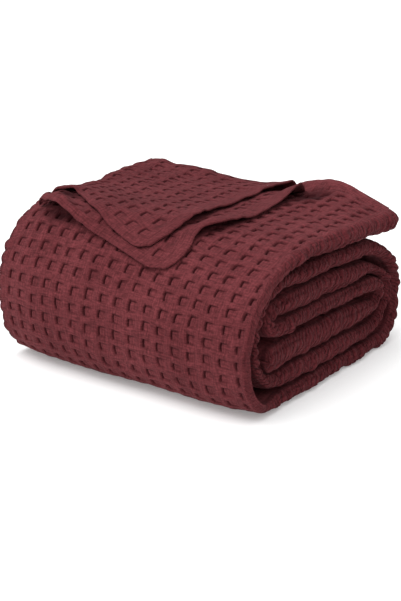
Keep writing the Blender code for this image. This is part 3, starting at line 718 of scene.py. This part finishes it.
def turned_sheet(name, winding, shape, above=None):
    """One layer of the turned corner as a closed thin sheet.

    A Coons patch between its four edges gives x and s: the two ruled surfaces less the bilinear one. Its
    lift over the roll is given by listed heights, rounds down to the roll at the folded edges, and stays
    under the sheet above. It carries the waffle relief, a plain raised hem and a narrow plain front edge.
    """
    curve, length = {}, {}
    for side in ("left", "hem", "back", "front"):
        curve[side], length[side] = through(shape[side], OUTLINE_STEPS)
    hem_lines = np.array(HEM_LINES) * SHEET_HEM_WIDTH / HEM_WIDTH
    from_hem = sheet_lines(length["front"], SHEET_HEM_WIDTH, CELL_WIDTH, CELL_LINES, hem_lines)
    from_front = sheet_lines(length["hem"], FRONT_MARGIN, SHEET_CELL_LENGTH, ROW_LINES, FRONT_LINES)
    to_hem, to_front = 1 - from_hem / length["front"], 1 - from_front / length["hem"]
    share = np.linspace(0, 1, OUTLINE_STEPS)
    left, hem = (on_curve(curve[side], share, to_front)[:, None] for side in ("left", "hem"))
    back, front = (on_curve(curve[side], share, to_hem)[None] for side in ("back", "front"))
    a, b = to_hem[None, :, None], to_front[:, None, None]
    corners = ((1 - a) * (1 - b) * curve["back"][0] + a * (1 - b) * curve["back"][-1]
               + (1 - a) * b * curve["front"][0] + a * b * curve["front"][-1])
    plan = (1 - a) * left + a * hem + (1 - b) * back + b * front - corners
    x, s = plan[..., 0], plan[..., 1]
    from_hem, from_front = from_hem[None, :] + 0 * x, from_front[:, None] + 0 * x
    from_left, from_back = length["front"] - from_hem, length["hem"] - from_front

    cells = rise(from_hem, SHEET_HEM_WIDTH, MARGIN_FADE) * rise(from_front, FRONT_MARGIN, MARGIN_FADE)
    cells = cells * rise(from_left, FOLD_MARGIN, FOLD_MARGIN) * rise(from_back, FOLD_MARGIN, FOLD_MARGIN)
    # The waffle relief, with painted shade in its slits and along the pits' end walls.
    depth, shade, stray = (value * cells for value in waffle((SHEET_HEM_WIDTH - from_hem) / CELL_WIDTH,
                                                             (FRONT_MARGIN - from_front) / SHEET_CELL_LENGTH))
    shade = shade * np.clip(1 + uneven(from_hem, from_front, SHADE_SWING), 0, 1)
    relief, seam = hem_relief(from_hem, SHEET_HEM_WIDTH, SHEET_STEP_RAMP, SHEET_SEAM_SIZE)
    # painted shade along the sunk seam
    depth, shade = SHEET_PIT_DEPTH * depth + relief, np.maximum(shade, SHEET_SEAM_SHADE * seam)

    lift = hand_placed(x, s, shape["heights"])
    if above is not None:
        # painted shade in the hollow between the two sheets' left ends
        shade = np.maximum(shade, DARKEST_SHADE * spot(x, s, *LOWER_MOUTH_SPOT))
        lift = np.minimum(lift, hand_placed(x, s, above["heights"]) - SHEET_THICKNESS - SHEET_GAP)
    lift += uneven(x, s, SHEET_WAVES) + uneven(from_hem, from_front, SHEET_RIPPLES)
    reach = FOLD_REACH + FOLD_REACH_SHARE * lift
    tuck = rounded(from_left, reach) * rounded(from_back, reach)
    top_lift = ROLL_GAP + (lift - depth - ROLL_GAP) * tuck
    bottom_lift = TUCK_GAP + (lift - SHEET_THICKNESS - TUCK_GAP) * tuck
    middle = 0.5 * (top_lift + bottom_lift)
    rim = np.sqrt(np.clip(np.minimum(from_hem, from_front) / RIM_REACH, 0, 1))
    thin = RIM_LEAST + (1 - RIM_LEAST) * rim
    half = winding.half(s)
    top = winding.place(x + stray, s, half + middle + (top_lift - middle) * thin)
    bottom = winding.place(x, s, half + middle + (bottom_lift - middle) * thin)
    coords = np.stack([from_hem, from_front], axis=-1)
    # each sheet's top gets at least its even painted shade
    return closed_sheet(name, top, bottom, coords, np.maximum(shade, SHEET_SHADE))


# ==== materials
FULL_DYE, PALE_DYE = (0.102, 0.0212, 0.0248, 1), (0.131, 0.029, 0.0335, 1)
EDGE_PAINTED_SHADE, EDGE_PAINTED_SHADE_SHARE = (0.078, 0.0105, 0.0135, 1), 0.45  # painted shade on the puffed edges: darker and redder than the faces
# the colour that all painted shade mixes towards
PAINTED_SHADE_COLOUR = (0.02, 0.0028, 0.004, 1)
FUZZ_TINT = (0.8, 0.5, 0.52, 1)
THREADS_IN_A_CELL = 20  # half of them over, half under
# Noises: scale, in places a metre, and detail. Those that follow the cloth have a scale across and along it.
FLECKS, DRIFT = (420, 4), (16, 3)
THREADS, CROSS_THREADS = (520, 70, 2), (70, 520, 2)
RIB_WANDER, RIB_WANDER_SIZE, RIB_PATCHES = (130, 130, 1), 9, (95, 95, 1)
# What these, the ribs and the depth are carried to: a span of values, and the share or tone at its ends.
DRIFT_SHARE = (0.3, 0.7, 0, 1)
THREAD_TONE, FLECK_TONE = (0.36, 0.64, 0.64, 1.34), (0.32, 0.68, 0.82, 1.18)
# FURROW_SHADE and DEPTH_SHADE give how much painted shade the fine ribs' furrows and the depth attribute add
PATCH_SHARE, FURROW_SHADE, DEPTH_SHADE = (0.4, 0.62, 0.2, 1), (0.5, 1, 0, 0.85), (0.05, 0.95, 0, 0.93)
RIB_TURNS = (2, 1.3)  # quarter turns of the fine ribs' sine in one pitch along the cloth, and across it
THREAD_RELIEF = 3  # height of the uneven threads beside the even weave's
WEAVE_BUMP, RIB_BUMP, FLECK_BUMP = (0.45, 0.0005), (0.9, 0.0022), (0.55, 0.0009)  # strength, and metres
COTTON = {"Roughness": 0.9, "Specular IOR Level": 0.05, "Sheen Weight": 0.035, "Sheen Roughness": 0.5,
          "Sheen Tint": FUZZ_TINT}


def set_inputs(node, values):
    """Give a node's sockets, by name, a number, a colour, or a link from another node's output."""
    for name, value in values.items():
        if isinstance(value, bpy.types.NodeSocket):
            node.id_data.links.new(value, node.inputs[name])
        else:
            node.inputs[name].default_value = value


def node_output(nodes, kind, values, output, **settings):
    """The named output of a new shader node, with values for its sockets and its own settings."""
    node = nodes.new("ShaderNode" + kind)
    for name, setting in settings.items():
        setattr(node, name, setting)
    set_inputs(node, values)
    return node.outputs[output]


def combine(nodes, operation, first, second=0.5):
    """A Math node's value for two numbers or outputs."""
    node = nodes.new("ShaderNodeMath")
    node.operation = operation
    set_inputs(node, {0: first, 1: second})
    return node.outputs["Value"]


def remap(nodes, value, low, high, dark, light, shape="LINEAR"):
    """A value's place between low and high, carried to between dark and light."""
    values = {"Value": value, "From Min": low, "From Max": high, "To Min": dark, "To Max": light}
    return node_output(nodes, "MapRange", values, "Result", interpolation_type=shape)


def burgundy_cotton():
    """Matt dyed cotton: thread streaks both ways, flecks, slow drift, a woven bump, fuzz and painted shade.

    Painted shade by the "depth" attribute darkens slits, hollows and creases. Folded edges, by their
    attribute, get a painted deeper shade and carry fine slanting ribs: a sine of the cloth's coordinates,
    wavering by a noise, with painted shade in its furrows.
    """
    material = bpy.data.materials.new("burgundy waffle cotton")
    material.use_nodes = True
    nodes = material.node_tree.nodes
    place = nodes.new("ShaderNodeTexCoord").outputs["Object"]
    cloth = node_output(nodes, "UVMap", {}, "UV", uv_map="cloth")
    # depth holds painted shade, and edge marks the folded edges
    depth, edge = (node_output(nodes, "Attribute", {}, "Fac", attribute_name=name)
                   for name in ("depth", "edge"))
    split = nodes.new("ShaderNodeSeparateXYZ")
    set_inputs(split, {"Vector": cloth})
    along, across = split.outputs["Y"], split.outputs["X"]

    def times(first, second):
        return combine(nodes, "MULTIPLY", first, second)

    def plus(first, second):
        return combine(nodes, "ADD", first, second)

    def noise(vector, scale, detail):
        return node_output(nodes, "TexNoise", {"Vector": vector, "Scale": scale, "Detail": detail}, "Fac")

    def cloth_noise(scale_x, scale_y, detail):
        vector = node_output(nodes, "Mapping", {"Vector": cloth, "Scale": (scale_x, scale_y, 1)}, "Vector")
        return noise(vector, 1, detail)

    def mix(share, first, second, blend="MIX"):
        node = nodes.new("ShaderNodeMix")
        node.data_type, node.blend_type = "RGBA", blend
        set_inputs(node, {"Factor": share, "A": first, "B": second})
        return node.outputs["Result"]

    flecks = noise(place, *FLECKS)
    threads = plus(times(cloth_noise(*THREADS), 0.5), times(cloth_noise(*CROSS_THREADS), 0.5))
    colour = mix(remap(nodes, noise(place, *DRIFT), *DRIFT_SHARE), FULL_DYE, PALE_DYE)
    grain = times(remap(nodes, threads, *THREAD_TONE), remap(nodes, flecks, *FLECK_TONE))
    tone = node_output(nodes, "CombineColor", {"Red": grain, "Green": grain, "Blue": grain}, "Color")
    colour = mix(1, colour, tone, "MULTIPLY")
    lengthwise, crosswise = (times(value, turns * math.pi / FINE_RIB_PITCH)
                             for value, turns in zip((along, across), RIB_TURNS))
    wander = times(cloth_noise(*RIB_WANDER), RIB_WANDER_SIZE)
    slant = times(plus(plus(lengthwise, crosswise), wander), 0.5)
    valleys = combine(nodes, "ABSOLUTE", combine(nodes, "SINE", slant))
    ribs = times(combine(nodes, "SUBTRACT", 1, valleys), edge)
    # painted deeper shade on the folded edges
    colour = mix(times(edge, EDGE_PAINTED_SHADE_SHARE), colour, EDGE_PAINTED_SHADE)
    patches = remap(nodes, cloth_noise(*RIB_PATCHES), *PATCH_SHARE)
    # painted shade in the fine ribs' furrows, here and there, and by the depth attribute
    furrow = times(remap(nodes, ribs, *FURROW_SHADE), patches)
    dark = combine(nodes, "MAXIMUM", remap(nodes, depth, *DEPTH_SHADE), furrow)

    weft, warp = (combine(nodes, "SINE", times(value, THREADS_IN_A_CELL * math.pi / pitch))
                  for value, pitch in ((across, CELL_WIDTH), (along, CELL_LENGTH)))
    weave = plus(combine(nodes, "MAXIMUM", weft, warp), times(threads, THREAD_RELIEF))
    normal = {}
    for height, (strength, distance), sunk in ((weave, WEAVE_BUMP, False), (ribs, RIB_BUMP, True),
                                               (flecks, FLECK_BUMP, False)):
        values = {"Height": height, "Strength": strength, "Distance": distance, **normal}
        normal = {"Normal": node_output(nodes, "Bump", values, "Normal", invert=sunk)}
    set_inputs(nodes["Principled BSDF"], {"Base Color": mix(dark, colour, PAINTED_SHADE_COLOUR), **normal, **COTTON})
    return material


# ==== camera, floor and light
CAMERA_AZIMUTH = 35.21  # degrees from -Y towards +X
CAMERA_ELEVATION = 17.56
CAMERA_PLACE = (0.639, -0.906, 0.4164)
CAMERA_LENS = 53.91  # mm, on a 36 mm sensor along the frame's long side
KEY_FROM = (-0.17, -0.36, 0.92)  # direction towards the soft key light
KEY_STRENGTH, KEY_SOFTNESS = 1.55, 40  # the softness in degrees
STUDIO_DARK, STUDIO_BRIGHT = 0.2, 1.3  # brightness opposite the key light and beside it
STUDIO_TURN = (-0.35, 0.95)  # cosines of the angles from the key light where it changes
HORIZON, HORIZON_BRIGHT = (0.05, 0.12), 1.05  # a bright band low down, which ends at these heights
FLOOR_REACH = 40
WHITE = (1, 1, 1, 1)
FLOOR_GLOW = 0.19  # lifts the floor's shadows
FLOOR_FINISH = {"Base Color": (0.82, 0.82, 0.82, 1), "Roughness": 0.9, "Specular IOR Level": 0,
                "Emission Color": WHITE, "Emission Strength": FLOOR_GLOW}


def add_camera(shift):
    """The camera, looking down at the roll's front and spiral end."""
    azimuth, elevation = math.radians(CAMERA_AZIMUTH), math.radians(CAMERA_ELEVATION)
    back = Vector((math.sin(azimuth) * math.cos(elevation), -math.cos(azimuth) * math.cos(elevation),
                   math.sin(elevation)))
    camera = add_object("camera", bpy.data.cameras.new("camera"), (-back).to_track_quat("-Z", "Y"))
    camera.data.lens = CAMERA_LENS
    camera.data.clip_start = 0.01
    camera.data.clip_end = 3 * FLOOR_REACH
    camera.location = Vector(CAMERA_PLACE) + Vector(shift)
    bpy.context.scene.camera = camera


def add_key_light():
    """One broad soft light from the upper front left."""
    lamp = bpy.data.lights.new("key", "SUN")
    lamp.energy = KEY_STRENGTH
    lamp.angle = math.radians(KEY_SOFTNESS)
    add_object("key", lamp, Vector(KEY_FROM).to_track_quat("Z", "Y"))


def add_floor():
    """A nearly white floor."""
    mesh = bpy.data.meshes.new("floor")
    corners = [(x * FLOOR_REACH, y * FLOOR_REACH, 0) for x, y in ((-1, -1), (1, -1), (1, 1), (-1, 1))]
    mesh.from_pydata(corners, [], [(0, 1, 2, 3)])
    material = bpy.data.materials.new("pale floor")
    material.use_nodes = True
    set_inputs(material.node_tree.nodes["Principled BSDF"], FLOOR_FINISH)
    mesh.materials.append(material)
    add_object("floor", mesh)


def add_studio():
    """White surroundings, bright from the key light's side and dim from opposite it, and white in view.

    The brightness is the largest of three: a soft step in the cosine of the angle from the key light, a band
    at the horizon, and 1 for what the camera sees.
    """
    world = bpy.data.worlds.new("studio")
    world.use_nodes = True
    nodes = world.node_tree.nodes
    direction = nodes.new("ShaderNodeTexCoord").outputs["Generated"]
    height = node_output(nodes, "SeparateXYZ", {"Vector": direction}, "Z")
    towards = node_output(nodes, "VectorMath", {0: direction, 1: KEY_FROM}, "Value", operation="DOT_PRODUCT")
    glow = remap(nodes, towards, *STUDIO_TURN, STUDIO_DARK, STUDIO_BRIGHT, "SMOOTHSTEP")
    band = remap(nodes, height, *HORIZON, HORIZON_BRIGHT, 0, "SMOOTHSTEP")
    seen = nodes.new("ShaderNodeLightPath").outputs["Is Camera Ray"]
    strength = combine(nodes, "MAXIMUM", combine(nodes, "MAXIMUM", glow, band), seen)
    set_inputs(nodes["Background"], {"Strength": strength, "Color": WHITE})
    bpy.context.scene.world = world


winding = Winding()
centre_on(winding, "blanket_roll")
bpy.context.scene.view_settings.view_transform = "Standard"
add_studio()
add_camera(winding.shift)
add_floor()
add_key_light()

cotton = burgundy_cotton()
roll = roll_pieces(winding)
upper = turned_sheet("corner_upper_layer", winding, UPPER_CORNER)
lower = turned_sheet("corner_lower_layer", winding, LOWER_CORNER, UPPER_CORNER)
for piece in roll + [upper, lower]:
    piece.data.materials.append(cotton)
    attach(piece, "root")
for piece in roll:
    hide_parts("blanket_roll")
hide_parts("turned_corner_upper")
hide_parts("turned_corner_lower")
